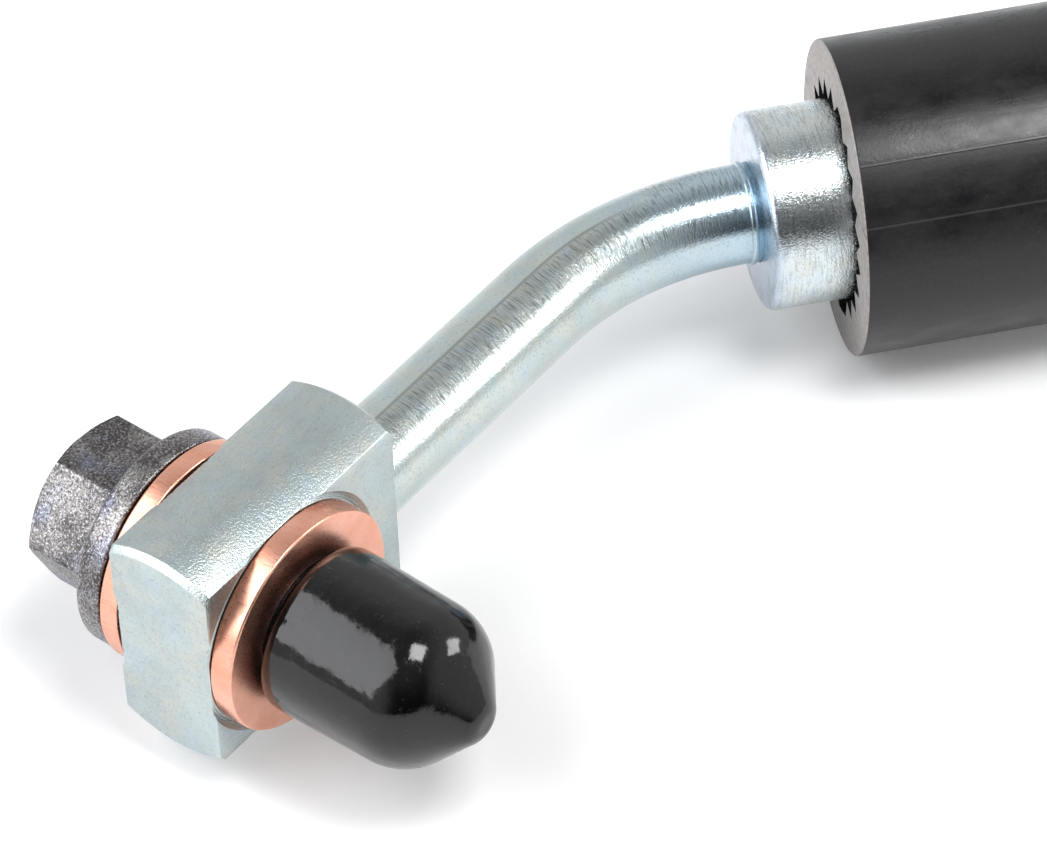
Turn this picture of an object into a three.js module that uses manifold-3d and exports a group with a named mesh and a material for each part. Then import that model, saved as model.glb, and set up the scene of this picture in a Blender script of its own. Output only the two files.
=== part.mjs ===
// Hydraulic brake hose with a bolted banjo block on one end and a female end fitting on the other.
// Units are millimetres, +Z is up. The near ferrule's front face is at x = 0 and the hose leaves
// along +X; at the end everything is moved so that the origin is under the middle of the object.

import * as THREE from 'three';
import { mergeVertices } from 'three/addons/utils/BufferGeometryUtils.js';
import Module from 'manifold-3d';

// Clearances
const seatGap = 0.3;
const slipGap = 0.3;

// How far a cutting tool runs past the face that it opens
const cutterSpare = 1;

// Rubber sleeve
const sleeveDiameter = 25.4;
const sleeveLength = 60;
const sleeveFrontX = 6.8;
const sleeveNotches = 23;
const sleeveNotchDepth = 1.45;
const sleeveNotchShare = 0.85;
const sleeveCutSkew = 3;

// Crimp ferrules
const ferruleDiameter = 16;
const ferruleLength = 26;
const ferruleNoseWall = 5;
const ferruleEdgeRadius = 0.7;
const crimpGrooves = 2;
const crimpGrooveDepth = 0.8;
const crimpGrooveWidth = 4;

// Hose
const hoseDiameter = 10.5;
const hoseBore = 3.2;
const linerWall = 1.15;
const braidWall = 0.6;
const stemBore = 1.6;
const barbHeight = 0.15;
const barbCount = 5;
const stemFromFerruleEnd = 2;

// Bent tube
const tubeDiameter = 8;
const tubeBore = 4;
const bendRadius = 27;
const bendAngle = 40.5;
const tubeStraight = 23.8;
const tubeNeck = 1;
const tubeInFerrule = 2.4;
const beadHeight = 0.35;
const beadWidth = 0.8;

// Banjo block
const barDiameter = 19.8;
const flatWidth = 9.1;
const blockLength = 21.5;
const blockChamfer = 0.5;
const boltFromNearEnd = 8.9;
const spotfaceDiameter = 19.2;
const spotfaceDepth = 0.25;
const socketDepth = 4;
const passageDiameter = 3.6;

// Banjo bolt
const threadDiameter = 10;
const boltLength = 24.2;
const waistDiameter = 8.2;
const boltBore = 4.5;
const crossHoleDiameter = 3;
const flangeDiameter = 17.6;
const flangeThickness = 2.3;
const flangeEdge = 0.5;
const hexAcrossFlats = 12;
const hexHeight = 6.8;
const hexTurn = 5.4;
const threadChamfer = 0.9;

// Copper washers
const washerDiameter = 18;
const washerThickness = 1.65;
const washerEdge = 0.2;

// Vinyl cap
const capLipDiameter = 13.4;
const capShoulderDiameter = 13.1;
const capWall = 1.1;
const capLipRadius = 0.9;
const capLipToShoulder = 9.4;
const capShoulderRadius = 5.1;
const capShoulderTurn = 51;
const capNippleDiameter = 4;
const capNippleHeight = 0.5;
const capNippleEdge = 0.2;
const capEndWall = 1.6;
const capBoreEdge = 2.2;
const capDroop = 1.2;

// Far end fitting
const fittingAcrossFlats = 17;
const fittingHexLength = 11;
const fittingBodyDiameter = 14;
const fittingBodyLength = 9;
const fittingEdge = 0.5;
const fittingGrooveDiameter = 12;
const fittingGrooveWidth = 2.5;
const fittingCollarLength = 3;
const portDiameter = 10;
const portDepth = 13;
const plugHeadDiameter = 13;
const plugHeadThickness = 2;
const plugDepth = 8;
const plugEdge = 0.6;

// A hexagon's end is turned back to this far inside its flats, and down its corners by this share
// of the step from flat to corner
const hexFaceInset = 0.2;
const hexChamferShare = 0.75;

// Roundness of turned and moulded surfaces
const fineSides = 40;
const midSides = 24;
const smallSides = 12;
const tubeSteps = 15;
const cordSides = 10;
const cordSteps = 22;

// Route of the hose's centre line, chosen by hand: out of the near ferrule, down to the surface, and
// back in one wide turn to the far ferrule
const axisHeight = sleeveDiameter / 2;
const farHeight = fittingAcrossFlats / 2;
const routePoints = [
  [5.3, 0, 12.7],
  [16, 0, 12.7],
  [27, 0, 12.7],
  [39, 0, 12.7],
  [50, 0, 12.2],
  [62, 0, 10.7],
  [74, 0, 8.5],
  [86, 0.1, 6.5],
  [98, 0.8, 5.5],
  [111, 3.4, 5.3],
  [126, 9.9, 5.3],
  [139, 20, 5.3],
  [148, 33, 5.3],
  [151.5, 48, 5.3],
  [149.5, 63, 5.3],
  [142, 77, 5.3],
  [130, 88.5, 5.3],
  [116, 96, 5.3],
  [102, 99.4, 5.3],
  [88, 100, 5.8],
  [76, 100, 7.2],
  [64, 100, 8.3],
  [54, 100, 8.5],
  [44, 100, 8.5],
  [34.7, 100, 8.5],
];
const routeEnd = routePoints[routePoints.length - 1];

// Colours
const zinc = { color: 0xbfc8c9, metalness: 0.9, roughness: 0.38 };
const phosphate = { color: 0x5d5a58, metalness: 0.7, roughness: 0.55 };
const copper = { color: 0xd98f74, metalness: 0.95, roughness: 0.3 };
const blackVinyl = { color: 0x141416, metalness: 0, roughness: 0.18 };
const blackRubber = { color: 0x35343a, metalness: 0, roughness: 0.6 };
const paleTextile = { color: 0xc9c2ad, metalness: 0, roughness: 0.9 };
const redPlastic = { color: 0xa8281f, metalness: 0, roughness: 0.4 };

const wasm = await Module();
wasm.setup();

const radians = THREE.MathUtils.degToRad;

function toSolid(geometry) {
  const bare = geometry.index ? geometry.toNonIndexed() : geometry.clone();
  bare.deleteAttribute('normal');
  bare.deleteAttribute('uv');
  const merged = mergeVertices(bare, 1e-5);
  return new wasm.Manifold(new wasm.Mesh({
    numProp: 3,
    vertProperties: new Float32Array(merged.attributes.position.array),
    triVerts: new Uint32Array(merged.index.array),
  }));
}

function toGeometry(solid) {
  const mesh = solid.getMesh();
  const geometry = new THREE.BufferGeometry();
  geometry.setAttribute('position', new THREE.BufferAttribute(mesh.vertProperties, 3));
  geometry.setIndex(new THREE.BufferAttribute(mesh.triVerts, 1));
  return geometry;
}

function cut(geometry, cutters) {
  let solid = toSolid(geometry);
  for (const cutter of cutters) {
    solid = solid.subtract(toSolid(cutter));
  }
  return toGeometry(solid);
}

function named(name, geometry, look) {
  const mesh = new THREE.Mesh(geometry, new THREE.MeshStandardMaterial(look));
  mesh.name = name;
  return mesh;
}

// A turned solid: [radius, height] pairs revolved about Y
function turned(pairs, sides) {
  const points = pairs.map(([radius, height]) => new THREE.Vector2(radius, height));
  return new THREE.LatheGeometry(points, sides);
}

// A turned ring: the pairs close on themselves
function ring(pairs, sides) {
  return turned([...pairs, pairs[0]], sides);
}

// A stretch of a circle from one angle to another, in degrees, as [radius, height] pairs
function arc(centreRadius, centreHeight, radius, from, to, steps) {
  const pairs = [];
  for (let i = 0; i <= steps; i += 1) {
    const angle = radians(from + (to - from) * i / steps);
    pairs.push([centreRadius + radius * Math.cos(angle), centreHeight + radius * Math.sin(angle)]);
  }
  return pairs;
}

// A plain cylinder along Y between two heights
function drill(diameter, low, high, sides) {
  const tool = new THREE.CylinderGeometry(diameter / 2, diameter / 2, high - low, sides);
  tool.translate(0, (low + high) / 2, 0);
  return tool;
}

// A hexagonal bar along Y between two heights, whose low or high end is turned to a chamfer
function hexBar(acrossFlats, low, high, chamferedEnd) {
  const cornerRadius = acrossFlats / Math.sqrt(3);
  const clearRadius = cornerRadius + cutterSpare;
  const faceRadius = acrossFlats / 2 - hexFaceInset;
  const slope = (cornerRadius - acrossFlats / 2) * hexChamferShare / (cornerRadius - faceRadius);
  const rise = (clearRadius - faceRadius) * slope;
  const outline = chamferedEnd === 'low'
    ? [[faceRadius, low], [clearRadius, low + rise], [clearRadius, high]]
    : [[clearRadius, low], [clearRadius, high - rise], [faceRadius, high]];
  const bar = drill(cornerRadius * 2, low, high, 6);
  const turnedDown = turned([[0, low], ...outline, [0, high]], fineSides);
  return toGeometry(toSolid(bar).intersect(toSolid(turnedDown)));
}

// The bent tube's centre line: straight out of the block, round the bend, straight into the ferrule
class BentLine extends THREE.Curve {
  constructor(inBlock, inFerrule) {
    super();
    this.bend = radians(bendAngle);
    this.first = inBlock + tubeStraight;
    this.second = bendRadius * this.bend;
    this.third = tubeNeck + inFerrule;
    this.inFerrule = inFerrule;
  }

  getPoint(t, target = new THREE.Vector3()) {
    const fromEnd = (1 - t) * (this.first + this.second + this.third);
    if (fromEnd <= this.third) {
      return target.set(this.inFerrule - fromEnd, 0, 0);
    }
    const turn = Math.min((fromEnd - this.third) / bendRadius, this.bend);
    target.set(-tubeNeck - bendRadius * Math.sin(turn), bendRadius * (Math.cos(turn) - 1), 0);
    const past = Math.max(fromEnd - this.third - this.second, 0);
    target.x -= past * Math.cos(this.bend);
    target.y -= past * Math.sin(this.bend);
    return target;
  }
}

function roundSection(diameter, sides) {
  const section = new THREE.Shape();
  for (let i = 0; i < sides; i += 1) {
    const angle = 2 * Math.PI * i / sides;
    const x = diameter / 2 * Math.cos(angle);
    const y = diameter / 2 * Math.sin(angle);
    if (i === 0) section.moveTo(x, y);
    else section.lineTo(x, y);
  }
  section.closePath();
  return section;
}

function swept(diameter, line, steps, sides) {
  return new THREE.ExtrudeGeometry(roundSection(diameter, sides), {
    steps,
    extrudePath: line,
    bevelEnabled: false,
  });
}

// Where the tube leaves the block: the far face's centre, seen from the ferrule
const bend = radians(bendAngle);
const blockFace = new THREE.Vector3(
  -tubeNeck - bendRadius * Math.sin(bend) - tubeStraight * Math.cos(bend),
  -bendRadius * (1 - Math.cos(bend)) - tubeStraight * Math.sin(bend),
  0,
);
const boltFromFarEnd = blockLength - boltFromNearEnd;

// Banjo group: Y runs along the bolt from its head to its thread, X points away from the tube
function banjoBlock() {
  const barRadius = barDiameter / 2;
  const halfFlat = flatWidth / 2;
  const nearEnd = boltFromNearEnd;
  const farEnd = -boltFromFarEnd;
  const bar = turned([
    [0, farEnd],
    [barRadius - blockChamfer, farEnd],
    [barRadius, farEnd + blockChamfer],
    [barRadius, nearEnd - blockChamfer],
    [barRadius - blockChamfer, nearEnd],
    [0, nearEnd],
  ], 2 * fineSides);
  bar.rotateZ(-Math.PI / 2);
  const slabLength = blockLength + 2 * cutterSpare;
  const slabWidth = barDiameter + 2 * cutterSpare;
  const cutters = [];
  for (const side of [-1, 1]) {
    const slab = new THREE.BoxGeometry(slabLength, barRadius, slabWidth);
    slab.translate((nearEnd + farEnd) / 2, side * (halfFlat + barRadius / 2), 0);
    cutters.push(slab);
    const spotface = drill(spotfaceDiameter, halfFlat - spotfaceDepth, barRadius, fineSides);
    if (side < 0) spotface.rotateZ(Math.PI);
    cutters.push(spotface);
  }
  cutters.push(drill(threadDiameter + 2 * slipGap, -barRadius, barRadius, midSides));
  const socketFloor = -farEnd - socketDepth;
  const passage = drill(passageDiameter, 0, socketFloor + cutterSpare, smallSides);
  const socket = drill(tubeDiameter + 2 * slipGap, socketFloor, -farEnd + cutterSpare, midSides);
  for (const tool of [passage, socket]) {
    tool.rotateZ(Math.PI / 2);
    cutters.push(tool);
  }
  return named('banjo_block', cut(bar, cutters), zinc);
}

const washerInner = flatWidth / 2 - spotfaceDepth + seatGap;
const washerOuter = washerInner + washerThickness;
const flangeFace = -(washerOuter + seatGap);
const flangeBack = flangeFace - flangeThickness;
const threadEnd = flangeFace + boltLength;

// A washer's outer face is split where the cap's lip ends, so that the free part is a face of its own
function washer(name, inner) {
  const outer = inner + washerThickness;
  const boreRadius = threadDiameter / 2 + slipGap;
  const outerRadius = washerDiameter / 2;
  const freeRadius = capLipDiameter / 2 + seatGap;
  const body = ring([
    [boreRadius, inner],
    [outerRadius - washerEdge, inner],
    [outerRadius, inner + washerEdge],
    [outerRadius, outer - washerEdge],
    [outerRadius - washerEdge, outer],
    [freeRadius, outer],
    [boreRadius, outer],
  ], fineSides);
  return named(name, body, copper);
}

function banjoBolt() {
  const flangeRadius = flangeDiameter / 2;
  const shankRadius = threadDiameter / 2;
  const waistRadius = waistDiameter / 2;
  const waistStart = -washerInner;
  const waistEnd = washerInner;
  const slope = shankRadius - waistRadius;
  const body = turned([
    [0, flangeBack],
    ...arc(flangeRadius - flangeEdge, flangeBack + flangeEdge, flangeEdge, -90, 0, 3),
    [flangeRadius, flangeFace - flangeEdge],
    [flangeRadius - flangeEdge, flangeFace],
    [shankRadius, flangeFace],
    [shankRadius, waistStart],
    [waistRadius, waistStart + slope],
    [waistRadius, waistEnd - slope],
    [shankRadius, waistEnd],
    [shankRadius, threadEnd - threadChamfer],
    [shankRadius - threadChamfer, threadEnd],
    [0, threadEnd],
  ], fineSides);
  const hex = hexBar(hexAcrossFlats, flangeBack - hexHeight, flangeBack + flangeEdge, 'low');
  hex.rotateY(radians(30 - hexTurn));
  const bore = drill(boltBore, -washerInner, threadEnd + cutterSpare, smallSides);
  const cross = drill(crossHoleDiameter, -threadDiameter, threadDiameter, smallSides);
  cross.rotateZ(Math.PI / 2);
  let solid = toSolid(body).add(toSolid(hex));
  solid = solid.subtract(toSolid(bore)).subtract(toSolid(cross));
  return named('banjo_bolt', toGeometry(solid), phosphate);
}

const capStart = washerOuter + seatGap;

function threadCap() {
  const lipRadius = capLipDiameter / 2;
  const shoulderRadius = capShoulderDiameter / 2;
  const shoulderStart = capStart + capLipToShoulder;
  const turn = radians(capShoulderTurn);
  const coneStart = shoulderStart + capShoulderRadius * Math.sin(turn);
  const coneRadius = shoulderRadius - capShoulderRadius * (1 - Math.cos(turn));
  const nippleRadius = capNippleDiameter / 2;
  const nippleStart = coneStart + (coneRadius - nippleRadius) / Math.tan(turn);
  const boreRadius = lipRadius - capWall;
  const boreEnd = nippleStart - capEndWall;
  const lip = arc(lipRadius - capLipRadius, capStart + capLipRadius, capLipRadius, -90, 0, 4);
  const shoulder = arc(shoulderRadius - capShoulderRadius, shoulderStart, capShoulderRadius, 0,
    capShoulderTurn, 6);
  const nippleEnd = nippleStart + capNippleHeight;
  const body = turned([
    [0, nippleEnd],
    [nippleRadius - capNippleEdge, nippleEnd],
    [nippleRadius, nippleEnd - capNippleEdge],
    [nippleRadius, nippleStart],
    ...shoulder.reverse(),
    ...lip.reverse(),
    [boreRadius, capStart],
    [boreRadius, boreEnd - capBoreEdge],
    [boreRadius - capBoreEdge, boreEnd],
    [0, boreEnd],
  ].reverse(), fineSides);
  const cap = named('thread_cap', body, blackVinyl);
  const pivot = new THREE.Group();
  pivot.position.y = capStart;
  cap.geometry.translate(0, -capStart, 0);
  pivot.rotation.x = -radians(capDroop);
  pivot.add(cap);
  return pivot;
}

function bentTube() {
  const solidLine = new BentLine(socketDepth - seatGap, tubeInFerrule);
  const boreLine = new BentLine(socketDepth + cutterSpare, tubeInFerrule + cutterSpare);
  const outer = toSolid(swept(tubeDiameter, solidLine, tubeSteps, midSides));
  const midWall = (tubeDiameter + tubeBore) / 4;
  const beadRadius = tubeDiameter / 2 + beadHeight;
  const beadEnd = -tubeNeck;
  const beadStart = beadEnd - beadWidth;
  const bead = ring([
    [midWall, beadStart],
    [beadRadius - beadHeight, beadStart],
    [beadRadius, beadStart + beadWidth / 4],
    [beadRadius, beadEnd - beadWidth / 4],
    [beadRadius - beadHeight, beadEnd],
    [midWall, beadEnd],
  ], midSides);
  bead.rotateZ(-Math.PI / 2);
  const bore = toSolid(swept(tubeBore, boreLine, tubeSteps, smallSides));
  return named('bent_tube', toGeometry(outer.add(toSolid(bead)).subtract(bore)), zinc);
}

const cavityRadius = hoseDiameter / 2 + slipGap;

// A crimp ferrule along Y with its nose at zero: a nose bored for what carries it, then a shell
// over the hose that is rolled in at each crimp groove
function ferrule(name, noseBore) {
  const outerRadius = ferruleDiameter / 2;
  const rolled = outerRadius - crimpGrooveDepth;
  const rolledStart = ferruleNoseWall + crimpGrooveWidth;
  const pitch = (ferruleLength - rolledStart - crimpGrooveWidth / 2) / crimpGrooves;
  const edge = arc(outerRadius - ferruleEdgeRadius, ferruleEdgeRadius, ferruleEdgeRadius, -90, 0, 4);
  const outline = [[noseBore / 2, 0], ...edge];
  for (let i = 0; i < crimpGrooves; i += 1) {
    const start = rolledStart + i * pitch;
    outline.push([outerRadius, start]);
    outline.push([rolled, start + crimpGrooveDepth / 2]);
    outline.push([rolled, start + crimpGrooveWidth - crimpGrooveDepth / 2]);
    outline.push([outerRadius, start + crimpGrooveWidth]);
  }
  outline.push([outerRadius, ferruleLength]);
  outline.push([cavityRadius, ferruleLength]);
  outline.push([cavityRadius, ferruleNoseWall]);
  outline.push([noseBore / 2, ferruleNoseWall]);
  return named(name, ring(outline, fineSides), zinc);
}

const stemRadius = hoseBore / 2 - slipGap;
const stemEnd = ferruleLength - stemFromFerruleEnd;

// Barbs of a stem inside the hose's bore, as [radius, height] pairs from the root to the tip
function barbs(start, end) {
  const pitch = (end - start) / barbCount;
  const pairs = [];
  for (let i = 0; i < barbCount; i += 1) {
    pairs.push([stemRadius - barbHeight, start + i * pitch]);
    pairs.push([stemRadius, start + i * pitch + barbHeight]);
  }
  pairs.push([stemRadius - barbHeight, end]);
  return pairs;
}

// The near insert along Y: a flange that the ferrule's nose holds against the tube, then the stem
function hoseInsert() {
  const flangeStart = tubeInFerrule + seatGap;
  const flangeRadius = tubeDiameter / 2;
  const boreRadius = stemBore / 2;
  const body = ring([
    [boreRadius, flangeStart],
    [flangeRadius, flangeStart],
    [flangeRadius, ferruleNoseWall],
    ...barbs(ferruleNoseWall, stemEnd),
    [boreRadius, stemEnd],
  ], smallSides);
  return named('hose_insert', body, zinc);
}

// The sleeve is extruded along Z and then turned to run along Y. Its front end is cut a little askew.
function rubberSleeve() {
  const boreRadius = ferruleDiameter / 2 + slipGap;
  const rootRadius = boreRadius / Math.cos(Math.PI / sleeveNotches);
  const tipRadius = boreRadius + sleeveNotchDepth;
  const outline = roundSection(sleeveDiameter, fineSides);
  const boreCorners = [];
  for (let i = 0; i < sleeveNotches; i += 1) {
    const corners = [
      [rootRadius, i - sleeveNotchShare / 2],
      [tipRadius, i],
      [rootRadius, i + sleeveNotchShare / 2],
    ];
    for (const [radius, place] of corners) {
      const angle = 2 * Math.PI * place / sleeveNotches;
      boreCorners.push(new THREE.Vector2(radius * Math.cos(angle), radius * Math.sin(angle)));
    }
  }
  const hole = new THREE.Path(boreCorners);
  hole.closePath();
  outline.holes.push(hole);
  const body = new THREE.ExtrudeGeometry(outline, { depth: sleeveLength, bevelEnabled: false });
  const place = body.attributes.position;
  for (let i = 0; i < place.count; i += 1) {
    const share = 1 - place.getZ(i) / sleeveLength;
    place.setZ(i, place.getZ(i) - share * place.getX(i) * Math.tan(radians(sleeveCutSkew)));
  }
  body.rotateX(-Math.PI / 2);
  body.translate(0, sleeveFrontX, 0);
  return named('rubber_sleeve', body, blackRubber);
}

// One layer of the hose, along the whole route
function hoseLayer(name, innerDiameter, outerDiameter, look) {
  const section = roundSection(outerDiameter, cordSides);
  section.holes.push(roundSection(innerDiameter, cordSides));
  const line = new THREE.CatmullRomCurve3(routePoints.map(([x, y, z]) => new THREE.Vector3(x, y, z)));
  const body = new THREE.ExtrudeGeometry(section, {
    steps: cordSteps,
    extrudePath: line,
    bevelEnabled: false,
  });
  return named(name, body, look);
}

// Far fitting along Y, measured from the far ferrule's nose away from the hose
function endFitting() {
  const bodyRadius = fittingBodyDiameter / 2;
  const hexEnd = seatGap + fittingHexLength;
  const grooveStart = hexEnd + fittingCollarLength;
  const fittingEnd = hexEnd + fittingBodyLength;
  const stem = barbs(ferruleNoseWall, stemEnd).map(([radius, height]) => [radius, -height]);
  const profile = turned([
    [0, fittingEnd],
    [bodyRadius - fittingEdge, fittingEnd],
    [bodyRadius, fittingEnd - fittingEdge],
    [bodyRadius, grooveStart + fittingGrooveWidth],
    [fittingGrooveDiameter / 2, grooveStart + fittingGrooveWidth],
    [fittingGrooveDiameter / 2, grooveStart],
    [bodyRadius, grooveStart],
    [bodyRadius, seatGap],
    [tubeDiameter / 2, seatGap],
    [tubeDiameter / 2, -ferruleNoseWall],
    ...stem,
    [0, -stemEnd],
  ].reverse(), midSides);
  const hex = hexBar(fittingAcrossFlats, seatGap, hexEnd, 'high');
  hex.rotateY(radians(30));
  let solid = toSolid(profile).add(toSolid(hex));
  const portFloor = fittingEnd - portDepth;
  const port = drill(portDiameter, portFloor, fittingEnd + cutterSpare, midSides);
  const passage = drill(stemBore, -stemEnd - cutterSpare, portFloor + cutterSpare, smallSides);
  solid = solid.subtract(toSolid(port)).subtract(toSolid(passage));
  return named('end_fitting', toGeometry(solid), zinc);
}

function portPlug() {
  const seat = seatGap + fittingHexLength + fittingBodyLength + seatGap;
  const head = seat + plugHeadThickness;
  const tip = seat - plugDepth;
  const plugRadius = portDiameter / 2 - slipGap;
  const headRadius = plugHeadDiameter / 2;
  const body = turned([
    [0, tip],
    [plugRadius - plugEdge, tip],
    [plugRadius, tip + plugEdge],
    [plugRadius, seat],
    [headRadius, seat],
    [headRadius, head - plugEdge],
    [headRadius - plugEdge, head],
    [0, head],
  ], midSides);
  return named('port_plug', body, redPlastic);
}

// The banjo end, bolted together and turned to the tube's direction
const banjo = new THREE.Group();
banjo.add(banjoBlock());
banjo.add(banjoBolt());
banjo.add(washer('washer_thread_side', washerInner));
banjo.add(washer('washer_head_side', -washerOuter));
banjo.add(threadCap());
banjo.rotation.z = bend + Math.PI;
banjo.position.set(
  blockFace.x - boltFromFarEnd * Math.cos(bend),
  blockFace.y - boltFromFarEnd * Math.sin(bend),
  0,
);

// Ferrule, insert and sleeve, turned so that their Y runs along the hose
const nearEnd = new THREE.Group();
nearEnd.add(ferrule('crimp_ferrule', tubeDiameter + 2 * slipGap));
nearEnd.add(hoseInsert());
nearEnd.add(rubberSleeve());
nearEnd.rotation.z = -Math.PI / 2;

const bolted = new THREE.Group();
bolted.add(banjo, nearEnd, bentTube());
bolted.position.z = axisHeight;

// The far end lies on the same surface, with one flat of its hexagon down
const farEnd = new THREE.Group();
farEnd.add(endFitting());
farEnd.add(portPlug());
const farFerrule = ferrule('far_ferrule', tubeDiameter + 2 * slipGap);
farFerrule.rotation.x = Math.PI;
farEnd.add(farFerrule);
farEnd.rotation.z = Math.PI / 2;
farEnd.position.set(routeEnd[0] - ferruleNoseWall - seatGap, routeEnd[1], farHeight);

// Liner, braid and cover
const hose = new THREE.Group();
const linerOuter = hoseBore + 2 * linerWall;
const braidInner = linerOuter + 2 * seatGap;
const braidOuter = braidInner + 2 * braidWall;
hose.add(hoseLayer('hose_liner', hoseBore, linerOuter, blackRubber));
hose.add(hoseLayer('hose_braid', braidInner, braidOuter, paleTextile));
hose.add(hoseLayer('hose_cover', braidOuter + 2 * seatGap, hoseDiameter, blackRubber));

// Origin under the middle of the banjo end and its sleeve
const brakeHose = new THREE.Group();
brakeHose.add(bolted, farEnd, hose);
brakeHose.updateMatrixWorld(true);
const middle = new THREE.Box3().setFromObject(bolted, true).getCenter(new THREE.Vector3());
brakeHose.position.set(-middle.x, -middle.y, 0);

export default brakeHose;
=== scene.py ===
# Brake hose with a banjo end: the look of every piece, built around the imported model.
# Sizes are in millimetres, as on a drawing, and MM turns them into metres. The hose's route is in
# metres.

from math import atan2, cos, hypot, pi, radians, sin, sqrt

import bpy
from mathutils import Matrix, Vector


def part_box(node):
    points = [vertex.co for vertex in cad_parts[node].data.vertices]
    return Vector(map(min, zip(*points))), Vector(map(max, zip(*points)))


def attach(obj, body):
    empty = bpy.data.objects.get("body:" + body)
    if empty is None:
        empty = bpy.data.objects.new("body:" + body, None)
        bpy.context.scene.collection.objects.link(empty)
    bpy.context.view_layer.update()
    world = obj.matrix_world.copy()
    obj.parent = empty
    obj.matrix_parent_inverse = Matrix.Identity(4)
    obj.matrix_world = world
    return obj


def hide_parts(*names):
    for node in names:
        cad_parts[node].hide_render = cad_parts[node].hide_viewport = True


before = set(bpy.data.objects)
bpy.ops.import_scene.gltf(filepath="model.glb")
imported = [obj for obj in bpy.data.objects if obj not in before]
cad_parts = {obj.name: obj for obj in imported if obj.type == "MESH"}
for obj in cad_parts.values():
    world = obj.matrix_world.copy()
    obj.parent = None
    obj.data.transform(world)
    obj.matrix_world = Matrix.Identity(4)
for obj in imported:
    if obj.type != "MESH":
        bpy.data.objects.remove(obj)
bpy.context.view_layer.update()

MM = 0.001

# Camera, as the photograph was taken
CAMERA_AZIMUTH = -10.69
CAMERA_ELEVATION = 45.52
CAMERA_ROLL = -2.08
CAMERA_LENS = 172.3
CAMERA_DISTANCE = 381.1 * MM
CAMERA_TARGET = Vector((-25.4, -1.0, 12.7)) * MM

# Clearances
SEAT_GAP = 0.3
SLIP_GAP = 0.3
TIGHT_GAP = 0.04

# Bent tube
TUBE_DIAMETER = 8
TUBE_BORE = 4
BEND_RADIUS = 27
BEND_ANGLE = radians(40.5)
TUBE_STRAIGHT = 23.8
TUBE_NECK = 1
BEAD_FROM_FERRULE = 0.35
TUBE_IN_FERRULE = 2.4
BEAD_HEIGHT = 0.15
BEAD_WIDTH = 0.55

# The tube's rubbed side: how it fades, where it ends before the ferrule, and the clean underside
RUB_EDGE = radians(2)
RUB_BORDER = radians(3)
RUB_END = (-8, -14)
RUB_DULLNESS = 0.22
UNDERSIDE = (radians(172), radians(135))

# Banjo block
BAR_DIAMETER = 19.8
FLAT_WIDTH = 9.1
BLOCK_LENGTH = 21.5
BLOCK_CHAMFER = 0.5
BOLT_FROM_NEAR_END = 8.9
SPOTFACE_DIAMETER = 19.2
SPOTFACE_DEPTH = 0.25
SPOTFACE_EDGE = 0.15
SPOTFACE_RINGS = 3
SPOTFACE_RING_PITCH = 0.18
SPOTFACE_RING_DEPTH = 0.07
SOCKET_DEPTH = 4
PASSAGE_DIAMETER = 3.6

# Banjo bolt
THREAD_DIAMETER = 10
THREAD_CHAMFER = 0.9
BOLT_LENGTH = 24.2
WAIST_DIAMETER = 8.2
BOLT_BORE = 4.5
CROSS_HOLE_DIAMETER = 3
FLANGE_DIAMETER = 17.6
FLANGE_THICKNESS = 2.3
FLANGE_BACK_EDGE = 0.5
FLANGE_FACE_EDGE = 0.25
HEX_ACROSS_FLATS = 12
HEX_HEIGHT = 6.8
HEX_TURN = radians(5.4)
HEAD_DISH_DIAMETER = 6
HEAD_DISH_DEPTH = 0.5

# Copper washers
WASHER_DIAMETER = 18
WASHER_THICKNESS = 1.65
WASHER_EDGE = 0.2

# Vinyl cap
CAP_LIP_DIAMETER = 13.4
CAP_SHOULDER_DIAMETER = 13.1
CAP_WALL = 1.1
CAP_BORE_EDGE = 2.2
CAP_LIP_INNER_EDGE = 0.2
CAP_LIP_RADIUS = 1.2
CAP_LIP_TO_SHOULDER = 9.4
CAP_SHOULDER_RADIUS = 5.1
CAP_SHOULDER_TURN = 51
CAP_NOSE_RADIUS = 1.9
CAP_NOSE_FLAT = 0.6
CAP_NOSE_SHIFT = (0, 0, -0.25)
CAP_END_WALL = 1.6
CAP_DROOP = radians(1.2)

# Crimp ferrules
FERRULE_DIAMETER = 16
FERRULE_LENGTH = 26
FERRULE_NOSE_WALL = 5
FERRULE_EDGE_RADIUS = 0.6
FERRULE_BACK_EDGE = 0.2
CRIMP_GROOVES = 2
CRIMP_GROOVE_DEPTH = 0.8
CRIMP_GROOVE_WIDTH = 4

# Rubber sleeve
SLEEVE_DIAMETER = 25.4
SLEEVE_LENGTH = 60
SLEEVE_FROM_FERRULE_FACE = 6.8
SLEEVE_NOTCHES = 23
SLEEVE_NOTCH_DEPTH = 1.45
SLEEVE_CUT_SKEW = radians(3)
SLEEVE_EDGE = 0.25
SLEEVE_END_ZONE = 1
SLEEVE_DIE_LINES = (53, 31)
DIE_LINE_HALF_WIDTH = radians(0.5)
CUT_END_FACING = 0.4

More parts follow.
